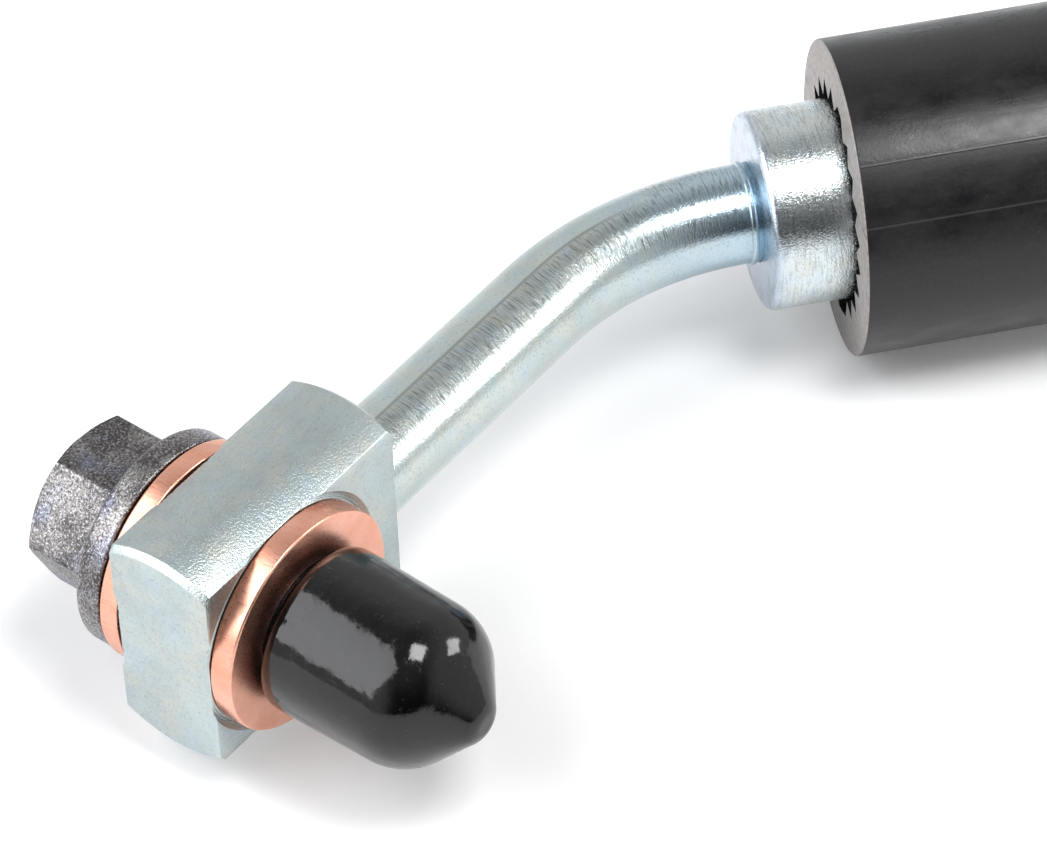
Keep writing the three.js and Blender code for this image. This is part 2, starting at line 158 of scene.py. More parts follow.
# Hose: its centre line in metres from the near ferrule's front face, chosen one by one
HOSE_DIAMETER = 10.5
HOSE_ROUTE = [
    (0.0053, 0, 0.0127),
    (0.016, 0, 0.0127),
    (0.027, 0, 0.0127),
    (0.039, 0, 0.0127),
    (0.050, 0, 0.0122),
    (0.062, 0, 0.0107),
    (0.074, 0, 0.0085),
    (0.086, 0.0001, 0.0065),
    (0.098, 0.0008, 0.0055),
    (0.111, 0.0034, 0.0053),
    (0.126, 0.0099, 0.0053),
    (0.139, 0.020, 0.0053),
    (0.148, 0.033, 0.0053),
    (0.1515, 0.048, 0.0053),
    (0.1495, 0.063, 0.0053),
    (0.142, 0.077, 0.0053),
    (0.130, 0.0885, 0.0053),
    (0.116, 0.096, 0.0053),
    (0.102, 0.0994, 0.0053),
    (0.088, 0.100, 0.0058),
    (0.076, 0.100, 0.0072),
    (0.064, 0.100, 0.0083),
    (0.054, 0.100, 0.0085),
    (0.044, 0.100, 0.0085),
    (0.0347, 0.100, 0.0085),
]

# Far end fitting and its plug
FITTING_ACROSS_FLATS = 17
FITTING_HEX_LENGTH = 11
FITTING_BODY_DIAMETER = 14
FITTING_BODY_LENGTH = 9
FITTING_EDGE = 0.5
FITTING_GROOVE_DIAMETER = 12
FITTING_GROOVE_WIDTH = 2.5
FITTING_COLLAR_LENGTH = 3
STEM_DIAMETER = 2.6
STEM_BORE = 1.6
STEM_FROM_FERRULE_END = 2
PORT_DIAMETER = 10
PORT_DEPTH = 13
PLUG_HEAD_DIAMETER = 13
PLUG_HEAD_THICKNESS = 2
PLUG_DEPTH = 8
PLUG_EDGE = 0.6
PLUG_RIBS = 36
PLUG_RIB_DEPTH = 0.3
PLUG_DISH_EDGE = 2
PLUG_DISH_DEPTH = 0.6

# A hexagon's end is turned back to this far inside its flats, on a cone of this share of its
# corners
HEX_FACE_INSET = 0.2
HEX_CHAMFER_SHARE = 0.75
HEX_CORNER = 0.3

# Roundness: steps in a turn, in an arc, along the bend and the hose, and across an edge
TURN_STEPS = 144
FINE_STEPS = 288
ARC_STEPS = 6
CAP_ARC_STEPS = 12
TUBE_STEPS = 96
HOSE_STEPS = 10
ROUND_EDGE_STEPS = 3
WORN_EDGE_STEPS = 2

# Edges and seams: how far an edge is worn, and how close two points are one
WORN_EDGE = 0.06
SMOOTH_ANGLE = radians(32)
SPIN_SEAM = 0.001
SAME_PLACE = 0.002

# How far a cutting tool runs past the face that it opens
CUTTER_SPARE = 1

# Studio
FLOOR_SIZE = 3
TABLE_GLOW = 0.12
ROOM_FILL = 0.14
SOFTBOX_AIM = Vector((-25, 0, 12)) * MM
SOFTBOX_DISTANCE = 0.6

# The near ferrule's front face, where the tube goes in, and the far ferrule's nose
near_low, near_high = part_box("crimp_ferrule")
far_low, far_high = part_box("far_ferrule")
ferrule_face = Vector((near_low.x, (near_low.y + near_high.y) / 2, (near_low.z + near_high.z) / 2))
far_nose = Vector((far_low.x, (far_low.y + far_high.y) / 2, (far_low.z + far_high.z) / 2))

# Places: Y runs along each group's axis, from head to thread on the bolt and towards the hose in
# the near ferrule
tube_direction = Vector((cos(BEND_ANGLE), sin(BEND_ANGLE), 0))
block_face = ferrule_face - MM * Vector((
    TUBE_NECK + BEND_RADIUS * sin(BEND_ANGLE),
    BEND_RADIUS * (1 - cos(BEND_ANGLE)),
    0,
)) - MM * TUBE_STRAIGHT * tube_direction
bolt_centre = block_face - MM * (BLOCK_LENGTH - BOLT_FROM_NEAR_END) * tube_direction
BANJO = Matrix.Translation(bolt_centre) @ Matrix.Rotation(BEND_ANGLE + pi, 4, "Z")
NEAR_END = Matrix.Translation(ferrule_face) @ Matrix.Rotation(-pi / 2, 4, "Z")
FAR_END = Matrix.Translation(far_nose) @ Matrix.Rotation(pi / 2, 4, "Z")
TUBE_END = Matrix.Translation(ferrule_face)


# Camera

def place_camera():
    turn = radians(CAMERA_AZIMUTH)
    rise = radians(CAMERA_ELEVATION)
    back = Vector((sin(turn) * cos(rise), -cos(turn) * cos(rise), sin(rise)))
    right = Vector((cos(turn), sin(turn), 0))
    up = back.cross(right)
    view = Matrix((right, up, back)).transposed().to_4x4()
    camera = bpy.data.objects.new("camera", bpy.data.cameras.new("camera"))
    bpy.context.scene.collection.objects.link(camera)
    camera.data.lens = CAMERA_LENS
    camera.data.clip_start = 10 * MM
    place = Matrix.Translation(CAMERA_TARGET + CAMERA_DISTANCE * back)
    camera.matrix_world = place @ view @ Matrix.Rotation(radians(CAMERA_ROLL), 4, "Z")
    bpy.context.scene.camera = camera


place_camera()


# Finishes

def add_node(tree, kind, inputs, **settings):
    """Adds a node. An input is a value, or the socket of another node that feeds it."""
    node = tree.nodes.new(kind)
    for name, value in settings.items():
        setattr(node, name, value)
    for name, value in inputs.items():
        if isinstance(value, bpy.types.NodeSocket):
            tree.links.new(value, node.inputs[name])
        else:
            node.inputs[name].default_value = value
    return node


class Finish:
    """One material. Each method adds a node and gives the socket that the next one takes."""

    def __init__(self, name):
        self.material = bpy.data.materials.new(name)
        self.material.use_nodes = True
        self.tree = self.material.node_tree
        self.tree.nodes.clear()

    def node(self, kind, inputs, **settings):
        return add_node(self.tree, kind, inputs, **settings)

    def on_piece(self, place):
        """Millimetres in the frame of the group that the piece belongs to."""
        coordinates = self.node("ShaderNodeTexCoord", {}).outputs["Object"]
        return self.node("ShaderNodeMapping", {
            "Vector": coordinates,
            "Location": place.translation,
            "Rotation": place.to_euler(),
            "Scale": (MM, MM, MM),
        }, vector_type="TEXTURE").outputs["Vector"]

    def along(self, attribute):
        """Millimetres along a bent piece, as if it were straight."""
        return self.node("ShaderNodeAttribute", {}, attribute_name=attribute).outputs["Vector"]

    def stretched(self, coordinates, scale):
        return self.node("ShaderNodeMapping", {
            "Vector": coordinates,
            "Scale": scale,
        }).outputs["Vector"]

    def noise(self, coordinates, per_mm, detail=2.0, roughness=0.5):
        return self.node("ShaderNodeTexNoise", {
            "Vector": coordinates,
            "Scale": per_mm,
            "Detail": detail,
            "Roughness": roughness,
        }).outputs["Fac"]

    def rings(self, coordinates, per_mm, wobble):
        return self.node("ShaderNodeTexWave", {
            "Vector": coordinates,
            "Scale": per_mm,
            "Distortion": wobble,
            "Detail": 2.0,
            "Detail Scale": 0.6,
        }, wave_type="RINGS", rings_direction="Y").outputs["Fac"]

    def part(self, coordinates, axis):
        return self.node("ShaderNodeSeparateXYZ", {"Vector": coordinates}).outputs[axis]

    def math(self, operation, first, second=0.0):
        return self.node("ShaderNodeMath", {0: first, 1: second}, operation=operation).outputs[0]

    def spread(self, value, low, high, to_low=0.0, to_high=1.0):
        return self.node("ShaderNodeMapRange", {
            "Value": value,
            "From Min": low,
            "From Max": high,
            "To Min": to_low,
            "To Max": to_high,
        }).outputs["Result"]

    def mix(self, share, first, second):
        node = self.node("ShaderNodeMix", {"Factor": share}, data_type="RGBA")
        for name, value in (("A", first), ("B", second)):
            socket = [s for s in node.inputs if s.name == name and s.type == "RGBA"][0]
            if isinstance(value, bpy.types.NodeSocket):
                self.tree.links.new(value, socket)
            else:
                socket.default_value = (*value, 1)
        return [s for s in node.outputs if s.type == "RGBA"][0]

    def relief(self, height, depth_mm, under=None):
        inputs = {"Height": height, "Distance": depth_mm * MM, "Strength": 1.0}
        if under is not None:
            inputs["Normal"] = under
        return self.node("ShaderNodeBump", inputs).outputs["Normal"]

    def shade(self, **inputs):
        named = {name.replace("_", " "): value for name, value in inputs.items()}
        shader = self.node("ShaderNodeBsdfPrincipled", named)
        output = self.node("ShaderNodeOutputMaterial", {})
        self.tree.links.new(shader.outputs["BSDF"], output.inputs["Surface"])
        return self.material


def zinc_plate(name, where, tone, shine, crystal_depth, grain, grain_depth, blued=(), rubbed=None):
    """Pale zinc plate: crystals that break up its shine, yellow and blue clouds, tool lines with
    painted shade in them. It turns blue from one place to another along an axis, and is rubbed
    dull between two bearings round X. It lies on a group's place, or along the attribute of a bent
    piece."""
    finish = Finish(name)
    place = finish.along(where) if isinstance(where, str) else finish.on_piece(where)
    clouds = finish.noise(place, 0.3, detail=4)
    tints = finish.noise(place, 0.5, detail=3)
    crystals = finish.noise(place, 5.0, detail=3, roughness=0.6)
    lines = finish.noise(finish.stretched(place, grain), 1.0, detail=3, roughness=0.6)
    pale = [min(1, 1.1 * level) for level in tone]
    line_painted_shade = min(0.6, 27 * grain_depth)
    colour = finish.mix(finish.spread(clouds, 0.35, 0.65), tone, pale)
    colour = finish.mix(finish.spread(tints, 0.52, 0.68, 0, 0.3), colour, (0.46, 0.60, 0.70))
    colour = finish.mix(finish.spread(tints, 0.48, 0.32, 0, 0.3), colour, (0.66, 0.64, 0.52))
    roughness = finish.spread(crystals, 0.3, 0.7, *shine)
    for axis, low, high, share, blue in blued:
        along = finish.part(place, axis)
        colour = finish.mix(finish.spread(along, low, high, 0, share), colour, blue)
    if rubbed is not None:
        low, high = [radians(limit) for limit in rubbed]
        bearing = finish.math("ARCTAN2", finish.part(place, "Z"), finish.part(place, "Y"))
        clear_of_ferrule = finish.spread(finish.part(place, "X"), *RUB_END)
        past_low = finish.spread(bearing, low, low + RUB_EDGE)
        dull = finish.math("MULTIPLY", past_low, finish.spread(bearing, high + RUB_EDGE, high))
        dull = finish.math("MULTIPLY", dull, clear_of_ferrule)
        scored = finish.math("MULTIPLY", past_low, finish.spread(bearing, *UNDERSIDE, 0.15, 1))
        scored = finish.math("MULTIPLY", scored, finish.spread(dull, 0, 1, 1, 0.1))
        lines = finish.math("MULTIPLY", lines, scored)
        away = finish.math("ABSOLUTE", finish.math("SUBTRACT", bearing, high))
        border = finish.spread(away, RUB_BORDER, 0, 0, 0.7)
        border = finish.math("MULTIPLY", border, clear_of_ferrule)
        colour = finish.mix(border, colour, (0.20, 0.18, 0.13))
        roughness = finish.math("ADD", roughness, finish.math("MULTIPLY", dull, RUB_DULLNESS))
    colour = finish.mix(finish.spread(crystals, 0.54, 0.72, 0, 0.5), colour, (0.24, 0.28, 0.30))
    # Painted shade: the tool lines are darkened in colour as well as cut in relief
    colour = finish.mix(finish.spread(lines, 0.50, 0.64, 0, line_painted_shade), colour, (0.14, 0.15, 0.15))
    normal = finish.relief(crystals, crystal_depth)
    normal = finish.relief(lines, grain_depth, normal)
    return finish.shade(Base_Color=colour, Metallic=1.0, Roughness=roughness, Normal=normal)


def phosphate_steel():
    """Dark phosphate coat over steel: brown-grey, bluish in places, with crystals that glitter."""
    finish = Finish("phosphate_steel")
    place = finish.on_piece(BANJO)
    clouds = finish.noise(place, 0.4, detail=4)
    blue = finish.noise(place, 0.25, detail=2)
    crystals = finish.noise(place, 5.2, detail=4, roughness=0.75)
    colour = finish.mix(finish.spread(clouds, 0.4, 0.6), (0.11, 0.10, 0.098), (0.255, 0.24, 0.232))
    colour = finish.mix(finish.spread(blue, 0.52, 0.68, 0, 0.6), colour, (0.20, 0.23, 0.33))
    colour = finish.mix(finish.spread(crystals, 0.54, 0.64, 0, 0.75), colour, (0.56, 0.57, 0.62))
    colour = finish.mix(finish.spread(crystals, 0.49, 0.40, 0, 0.9), colour, (0.04, 0.035, 0.035))
    roughness = finish.spread(crystals, 0.35, 0.65, 0.36, 0.22)
    normal = finish.relief(crystals, 0.035)
    return finish.shade(Base_Color=colour, Metallic=0.95, Roughness=roughness, Normal=normal)


def soft_copper():
    """Soft copper, turned and tumbled: faint rings, fine scratches and a little browning."""
    finish = Finish("soft_copper")
    place = finish.on_piece(BANJO)
    clouds = finish.noise(place, 0.35, detail=4)
    scratches = finish.noise(finish.stretched(place, (7, 0.8, 7)), 1.0, detail=3, roughness=0.6)
    grain = finish.noise(place, 4.0, detail=2)
    turning = finish.rings(place, 2.2, 1.5)
    colour = finish.mix(finish.spread(clouds, 0.35, 0.65), (0.83, 0.39, 0.27), (0.91, 0.49, 0.37))
    colour = finish.mix(finish.spread(scratches, 0.55, 0.72, 0, 0.45), colour, (0.58, 0.23, 0.14))
    colour = finish.mix(finish.spread(grain, 0.62, 0.75, 0, 0.4), colour, (0.50, 0.20, 0.12))
    roughness = finish.spread(scratches, 0.3, 0.7, 0.24, 0.38)
    normal = finish.relief(scratches, 0.010)
    normal = finish.relief(turning, 0.002, normal)
    return finish.shade(Base_Color=colour, Metallic=1.0, Roughness=roughness, Normal=normal)


def dipped_vinyl():
    """Black vinyl, dipped: a deep gloss over slow ripples, with dust and hair scratches."""
    finish = Finish("dipped_vinyl")
    place = finish.on_piece(BANJO)
    ripples = finish.noise(place, 0.35, detail=2)
    skin = finish.noise(place, 2.0, detail=3, roughness=0.6)
    dust = finish.noise(place, 4.0, detail=2)
    hairs = finish.noise(finish.stretched(place, (5.0, 0.5, 2.5)), 1.0, detail=2)
    dusty = finish.spread(dust, 0.64, 0.76, 0, 0.5)
    colour = finish.mix(dusty, (0.002, 0.002, 0.0025), (0.05, 0.05, 0.05))
    colour = finish.mix(finish.spread(hairs, 0.69, 0.76, 0, 0.4), colour, (0.05, 0.05, 0.05))
    roughness = finish.spread(skin, 0.35, 0.65, 0.05, 0.16)
    normal = finish.relief(ripples, 0.08)
    normal = finish.relief(skin, 0.010, normal)
    return finish.shade(Base_Color=colour, Roughness=roughness, IOR=1.5, Normal=normal)


def sleeve_rubber():
    """Extruded rubber, mottled and dusty, satin above the upper die line and matt below it."""
    finish = Finish("sleeve_rubber")
    place = finish.on_piece(NEAR_END)
    mottle = finish.noise(finish.stretched(place, (0.5, 0.25, 0.5)), 1.0, detail=3, roughness=0.6)
    skin = finish.noise(place, 3.0, detail=3, roughness=0.7)
    streaks = finish.noise(finish.stretched(place, (1.2, 0.02, 1.2)), 1.0, detail=3)
    dust = finish.noise(place, 5.0, detail=2, roughness=0.6)
    bearing = finish.math("ARCTAN2", finish.part(place, "Z"), finish.part(place, "X"))
    upper_line = SLEEVE_DIE_LINES[0]
    matt = finish.spread(bearing, radians(upper_line + 1), radians(upper_line - 1))
    mottled = finish.spread(mottle, 0.35, 0.65)
    colour = finish.mix(mottled, (0.002, 0.002, 0.003), (0.008, 0.007, 0.008))
    colour = finish.mix(finish.spread(skin, 0.5, 0.72, 0, 0.5), colour, (0.020, 0.018, 0.018))
    colour = finish.mix(finish.spread(dust, 0.68, 0.80, 0, 0.4), colour, (0.09, 0.085, 0.08))
    ridge = 0.0
    for line in SLEEVE_DIE_LINES:
        away = finish.math("ABSOLUTE", finish.math("SUBTRACT", bearing, radians(line)))
        ridge = finish.math("MAXIMUM", ridge, finish.spread(away, DIE_LINE_HALF_WIDTH, 0))
    # Painted highlight: the die-line ridges are painted paler
    colour = finish.mix(finish.math("MULTIPLY", ridge, 0.25), colour, (0.13, 0.13, 0.13))
    satin = finish.spread(mottle, 0.35, 0.65, 0.24, 0.36)
    roughness = finish.math("ADD", satin, finish.math("MULTIPLY", matt, 0.10))
    normal = finish.relief(skin, 0.010)
    normal = finish.relief(streaks, 0.012, normal)
    normal = finish.relief(ridge, 0.012, normal)
    return finish.shade(Base_Color=colour, Roughness=roughness, IOR=1.5, Normal=normal)


def cut_rubber():
    """The sleeve's knife-cut end with drag marks, paler than its skin: cut rubber plus a
    painted reflection.
    """
    finish = Finish("cut_rubber")
    place = finish.on_piece(NEAR_END)
    grain = finish.noise(place, 2.5, detail=3, roughness=0.6)
    drag = finish.noise(finish.stretched(place, (0.4, 1, 3.0)), 1.0, detail=3)
    colour = finish.mix(finish.spread(grain, 0.35, 0.65), (0.26, 0.235, 0.22), (0.38, 0.35, 0.33))
    colour = finish.mix(finish.spread(drag, 0.55, 0.72, 0, 0.6), colour, (0.10, 0.09, 0.085))
    # Painted shade: the cut end darker towards the bottom
    painted_shade_low_down = finish.spread(finish.part(place, "Z"), -2, -10, 0, 0.6)
    colour = finish.mix(painted_shade_low_down, colour, (0.09, 0.085, 0.085))
    normal = finish.relief(drag, 0.02)
    return finish.shade(Base_Color=colour, Roughness=0.5, IOR=1.5, Normal=normal)


def hose_rubber():
    """Moulded cover rubber, matt, with a fine cloth impression."""
    finish = Finish("hose_rubber")
    place = finish.on_piece(NEAR_END)
    clouds = finish.noise(finish.stretched(place, (0.2, 0.2, 0.2)), 1.0, detail=3)
    skin = finish.noise(place, 2.0, detail=3, roughness=0.6)
    cloth = finish.node("ShaderNodeTexWave", {
        "Vector": place, "Scale": 0.35, "Distortion": 0.4, "Detail": 1.0,
    }, bands_direction="DIAGONAL").outputs["Fac"]
    clouded = finish.spread(clouds, 0.35, 0.65)
    colour = finish.mix(clouded, (0.014, 0.014, 0.015), (0.028, 0.027, 0.027))
    roughness = finish.spread(skin, 0.3, 0.7, 0.46, 0.62)
    normal = finish.relief(cloth, 0.02)
    normal = finish.relief(skin, 0.008, normal)
    return finish.shade(Base_Color=colour, Roughness=roughness, IOR=1.5, Normal=normal)


def liner_rubber():
    """The hose's inner tube: plain black rubber with a faint sheen."""
    finish = Finish("liner_rubber")
    place = finish.on_piece(NEAR_END)
    skin = finish.noise(place, 2.0, detail=3)
    colour = finish.mix(finish.spread(skin, 0.3, 0.7), (0.012, 0.012, 0.013), (0.025, 0.025, 0.026))
    return finish.shade(Base_Color=colour, Roughness=0.5, Normal=finish.relief(skin, 0.005))


def braid_textile():
    """Plaited cord: pale strands that cross."""
    finish = Finish("braid_textile")
    place = finish.on_piece(NEAR_END)
    strands = finish.node("ShaderNodeTexWave", {
        "Vector": place, "Scale": 0.6, "Distortion": 1.0, "Detail": 1.0,
    }, bands_direction="DIAGONAL").outputs["Fac"]
    fuzz = finish.noise(place, 5.0, detail=2)
    colour = finish.mix(strands, (0.34, 0.31, 0.24), (0.60, 0.56, 0.46))
    colour = finish.mix(finish.spread(fuzz, 0.5, 0.75, 0, 0.4), colour, (0.20, 0.18, 0.14))
    return finish.shade(Base_Color=colour, Roughness=0.9, Normal=finish.relief(strands, 0.1))


def plug_plastic():
    """Moulded polythene, matt, slightly waxy."""
    finish = Finish("plug_plastic")
    place = finish.on_piece(FAR_END)
    flow = finish.noise(finish.stretched(place, (0.4, 0.15, 0.4)), 1.0, detail=3)
    skin = finish.noise(place, 3.0, detail=3)
    colour = finish.mix(finish.spread(flow, 0.35, 0.65), (0.36, 0.022, 0.014), (0.47, 0.036, 0.022))
    roughness = finish.spread(skin, 0.3, 0.7, 0.36, 0.5)
    return finish.shade(Base_Color=colour, Roughness=roughness, Normal=finish.relief(skin, 0.006))


# Bench work

def put_away_selection():
    for other in bpy.context.selected_objects:
        other.select_set(False)


def focus(piece):
    put_away_selection()
    piece.select_set(True)
    bpy.context.view_layer.objects.active = piece


def choose(piece, kind, wanted):
    """Goes into edit mode with only the points or edges that wanted() names selected."""
    focus(piece)
    bpy.ops.object.mode_set(mode="EDIT")
    bpy.ops.mesh.select_mode(type=kind)
    bpy.ops.mesh.select_all(action="DESELECT")
    bpy.ops.object.mode_set(mode="OBJECT")
    elements = piece.data.vertices if kind == "VERT" else piece.data.edges
    for element in elements:
        element.select = wanted(element)
    bpy.ops.object.mode_set(mode="EDIT")


def apply_modifiers(piece):
    focus(piece)
    for modifier in list(piece.modifiers):
        bpy.ops.object.modifier_apply(modifier=modifier.name)


def carve(piece, tool, operation="DIFFERENCE"):
    """Cuts, joins or keeps the overlap of piece and tool, and uses the tool up."""
    change = piece.modifiers.new("carve", "BOOLEAN")
    change.operation = operation
    change.solver = "EXACT"
    change.object = tool
    apply_modifiers(piece)
    bpy.data.objects.remove(tool)


def arc(centre_radius, centre_height, radius, start, end, steps=ARC_STEPS):
    """Stops along a stretch of a circle, from one angle to another in degrees."""
    angles = [radians(start + (end - start) * i / steps) for i in range(steps + 1)]
    return [(centre_radius + radius * cos(a), centre_height + radius * sin(a)) for a in angles]


def turned(name, outline, steps=TURN_STEPS):
    """Draws an outline of (radius, height) stops and spins it about Y."""
    put_away_selection()
    radius, height = outline[0]
    bpy.ops.mesh.primitive_plane_add(size=MM, location=(radius * MM, height * MM, 0))
    piece = bpy.context.object
    piece.name = name
    bpy.ops.object.transform_apply(location=True, rotation=False, scale=False)
    bpy.ops.object.mode_set(mode="EDIT")
    bpy.ops.mesh.select_all(action="SELECT")
    bpy.ops.mesh.merge(type="CENTER")
    for stop, following in zip(outline, outline[1:]):
        step = ((following[0] - stop[0]) * MM, (following[1] - stop[1]) * MM, 0)
        bpy.ops.mesh.extrude_vertices_move(TRANSFORM_OT_translate={"value": step})
    bpy.ops.mesh.select_all(action="SELECT")
    bpy.ops.mesh.spin(steps=steps, angle=2 * pi, center=(0, 0, 0), axis=(0, 1, 0))
    bpy.ops.mesh.select_all(action="SELECT")
    bpy.ops.mesh.remove_doubles(threshold=SPIN_SEAM * MM)
    bpy.ops.mesh.normals_make_consistent(inside=False)
    bpy.ops.object.mode_set(mode="OBJECT")
    return piece


def rod(diameter, low, high, steps=TURN_STEPS):
    """A plain rod along Y, to cut with or to start from."""
    return turned("rod", [(0, low), (diameter / 2, low), (diameter / 2, high), (0, high)], steps)


def lay_along_x(piece):
    piece.rotation_euler = (0, 0, pi / 2)
    focus(piece)
    bpy.ops.object.transform_apply(location=False, rotation=True, scale=False)
    return piece


def hex_bar(across_flats, low, high, chamfered_end, turn=0.0):
    """A hexagonal bar along Y, its corners just broken, with one end turned to a chamfer."""
    corner_radius = across_flats / sqrt(3)
    put_away_selection()
    bpy.ops.mesh.primitive_cylinder_add(
        vertices=6,
        radius=corner_radius * MM,
        depth=(high - low) * MM,
        location=(0, (low + high) / 2 * MM, 0),
        rotation=(pi / 2, 0, 0),
    )
    bar = bpy.context.object
    bpy.ops.object.transform_apply(location=True, rotation=True, scale=True)
    bar.rotation_euler = (0, pi / 6 + turn, 0)
    bpy.ops.object.transform_apply(location=False, rotation=True, scale=False)
    broken = bar.modifiers.new("broken corners", "BEVEL")
    broken.width = HEX_CORNER * MM
    broken.segments = ROUND_EDGE_STEPS
    broken.limit_method = "ANGLE"
    apply_modifiers(bar)
    clear_radius = corner_radius + CUTTER_SPARE
    face_radius = across_flats / 2 - HEX_FACE_INSET
    slope = (corner_radius - across_flats / 2) * HEX_CHAMFER_SHARE / (corner_radius - face_radius)
    rise = (clear_radius - face_radius) * slope
    if chamfered_end == "low":
        sides = [(face_radius, low), (clear_radius, low + rise), (clear_radius, high)]
    else:
        sides = [(clear_radius, low), (clear_radius, high - rise), (face_radius, high)]
    carve(bar, turned("envelope", [(0, low), *sides, (0, high)]), "INTERSECT")
    return bar


def close_up(piece):
    """Merges points that cutting left in the same place, and clears the slivers between them."""
    choose(piece, "VERT", lambda vertex: True)
    bpy.ops.mesh.remove_doubles(threshold=SAME_PLACE * MM)
    bpy.ops.mesh.dissolve_degenerate(threshold=SAME_PLACE * MM)
    bpy.ops.mesh.select_all(action="DESELECT")
    bpy.ops.object.mode_set(mode="OBJECT")


def wear_edges(piece, width):
    """Rounds every sharp edge a little."""
    edges = piece.modifiers.new("worn edges", "BEVEL")
    edges.width = width * MM
    edges.segments = WORN_EDGE_STEPS
    edges.limit_method = "ANGLE"
    edges.angle_limit = SMOOTH_ANGLE
    apply_modifiers(piece)


def seat(piece, place, finish, slot, *nodes):
    """Puts a finished piece where its group is, dresses it, and lets it stand for its CAD nodes."""
    close_up(piece)
    piece.matrix_world = place
    bpy.ops.object.transform_apply(location=True, rotation=True, scale=True)
    bpy.ops.object.shade_smooth_by_angle(angle=SMOOTH_ANGLE)
    piece.data.materials.clear()
    piece.data.materials.append(finish)
    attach(piece, "root")
    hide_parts(*nodes)
    return piece


# Hose

def hose_curve():
    """The hose's cover, one smooth curve through the route's points."""
    line = bpy.data.curves.new("outer_hose", "CURVE")
    line.dimensions = "3D"
    line.bevel_depth = HOSE_DIAMETER / 2 * MM
    line.bevel_resolution = HOSE_STEPS
    line.resolution_u = HOSE_STEPS
    line.use_fill_caps = True
    spline = line.splines.new("BEZIER")
    spline.bezier_points.add(len(HOSE_ROUTE) - 1)
    start = Vector((ferrule_face.x, ferrule_face.y, 0))
    for point, place in zip(spline.bezier_points, HOSE_ROUTE):
        point.co = start + Vector(place)
        point.handle_left_type = "AUTO"
        point.handle_right_type = "AUTO"
    hose = bpy.data.objects.new("outer_hose", line)
    bpy.context.scene.collection.objects.link(hose)
    return hose


# Banjo end

washer_inner = FLAT_WIDTH / 2 - SPOTFACE_DEPTH + SEAT_GAP
washer_outer = washer_inner + WASHER_THICKNESS
flange_face = -washer_outer - SEAT_GAP
flange_back = flange_face - FLANGE_THICKNESS
thread_end = flange_face + BOLT_LENGTH


def block_body():
    """A slice of round bar: faced, chamfered, milled flat on two sides, spotfaced and bored."""
    near_end = BOLT_FROM_NEAR_END
    far_end = near_end - BLOCK_LENGTH
    radius = BAR_DIAMETER / 2
    body = lay_along_x(turned("block_body", [
        (0, -near_end),
        (radius - BLOCK_CHAMFER, -near_end),
        (radius, -near_end + BLOCK_CHAMFER),
        (radius, -far_end - BLOCK_CHAMFER),
        (radius - BLOCK_CHAMFER, -far_end),
        (0, -far_end),
    ], FINE_STEPS))
    half_flat = FLAT_WIDTH / 2
    for side in (-1, 1):
        bpy.ops.object.mode_set(mode="EDIT")
        bpy.ops.mesh.select_all(action="SELECT")
        bpy.ops.mesh.bisect(
            plane_co=(0, side * half_flat * MM, 0),
            plane_no=(0, side, 0),
            use_fill=True,
            clear_outer=True,
        )
        bpy.ops.object.mode_set(mode="OBJECT")
    wear_edges(body, WORN_EDGE)
    floor = half_flat - SPOTFACE_DEPTH
    tool_marks = []
    for i in range(SPOTFACE_RINGS, 0, -1):
        start = SPOTFACE_DIAMETER / 2 - i * SPOTFACE_RING_PITCH
        tool_marks.append((start, floor))
        tool_marks.append((start + SPOTFACE_RING_PITCH / 2, floor - SPOTFACE_RING_DEPTH))
    for side in (-1, 1):
        carve(body, turned("spotfacer", [
            (0, side * floor),
            *[(mark_radius, side * height) for mark_radius, height in tool_marks],
            (SPOTFACE_DIAMETER / 2, side * floor),
            (SPOTFACE_DIAMETER / 2, side * (half_flat - SPOTFACE_EDGE)),
            (SPOTFACE_DIAMETER / 2 + SPOTFACE_EDGE, side * half_flat),
            (SPOTFACE_DIAMETER / 2 + SPOTFACE_EDGE, side * radius),
            (0, side * radius),
        ], FINE_STEPS))
    carve(body, rod(THREAD_DIAMETER + 2 * SLIP_GAP, -radius, radius))
    socket_floor = -far_end - SOCKET_DEPTH
    socket = rod(TUBE_DIAMETER + 2 * SLIP_GAP, socket_floor, -far_end + CUTTER_SPARE)
    passage = rod(PASSAGE_DIAMETER, 0, socket_floor + CUTTER_SPARE)
    carve(body, lay_along_x(socket))
    carve(body, lay_along_x(passage))
    return body


def washer(name, inner, outer):
    bore = THREAD_DIAMETER / 2 + SLIP_GAP
    rim = WASHER_DIAMETER / 2
    edge = WASHER_EDGE
    return turned(name, [
        (bore + edge, inner),
        *arc(rim - edge, inner + edge, edge, -90, 0),
        *arc(rim - edge, outer - edge, edge, 0, 90),
        *arc(bore + edge, outer - edge, edge, 90, 180),
        *arc(bore + edge, inner + edge, edge, 180, 270),
    ])


